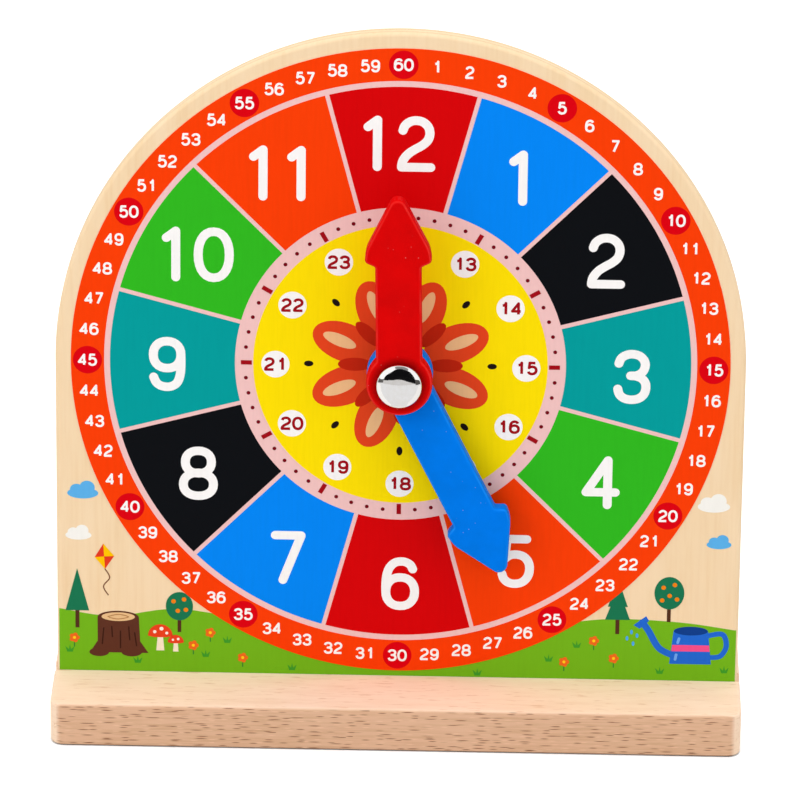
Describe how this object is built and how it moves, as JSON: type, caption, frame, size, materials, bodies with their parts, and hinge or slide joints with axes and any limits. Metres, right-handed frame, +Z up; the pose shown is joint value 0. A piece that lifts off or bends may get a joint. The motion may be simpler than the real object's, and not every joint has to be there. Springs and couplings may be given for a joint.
{
  "type": "teaching clock",
  "caption": "Wooden teaching clock: an arched printed dial board standing in a grooved base, with a short and a long arrow hand that are turned by hand on one pivot bolt.",
  "frame": {"origin": "middle of the base block's underside, where the clock rests on a table", "axes": "+Z up; +X to the right of someone facing the dial; the dial faces -Y and leans back from upright towards +Y"},
  "size_m": [0.222, 0.0534, 0.2305],
  "materials": {
    "birch_plywood": "satin",
    "beech": "satin",
    "red_painted_plywood": "satin",
    "blue_painted_plywood": "satin",
    "chrome": "polished",
    "zinc_plated_steel": "satin",
    "white_nylon": "matte",
    "printed_ink": "satin"
  },
  "bodies": {
    "stand": {"dial_board": "birch_plywood", "base_block": "beech", "pivot_bolt": "chrome", "spacer_bush": "white_nylon", "hand_washer": "white_nylon", "back_washer": "zinc_plated_steel", "disc_spring": "zinc_plated_steel", "lock_nut": "zinc_plated_steel", "nut_insert": "white_nylon"},
    "hour_hand": {"hour_hand": "red_painted_plywood"},
    "minute_hand": {"minute_hand": "blue_painted_plywood"}
  },
  "joints": [
    {"name": "hour_hand_turn", "type": "hinge", "parent": "stand", "child": "hour_hand", "pos_m": [0, -0.00757, 0.12287], "axis": [0, 0.9945, -0.1045], "continuous": true},
    {"name": "minute_hand_turn", "type": "hinge", "parent": "stand", "child": "minute_hand", "pos_m": [0, 0.00009, 0.12206], "axis": [0, 0.9945, -0.1045], "continuous": true}
  ]
}
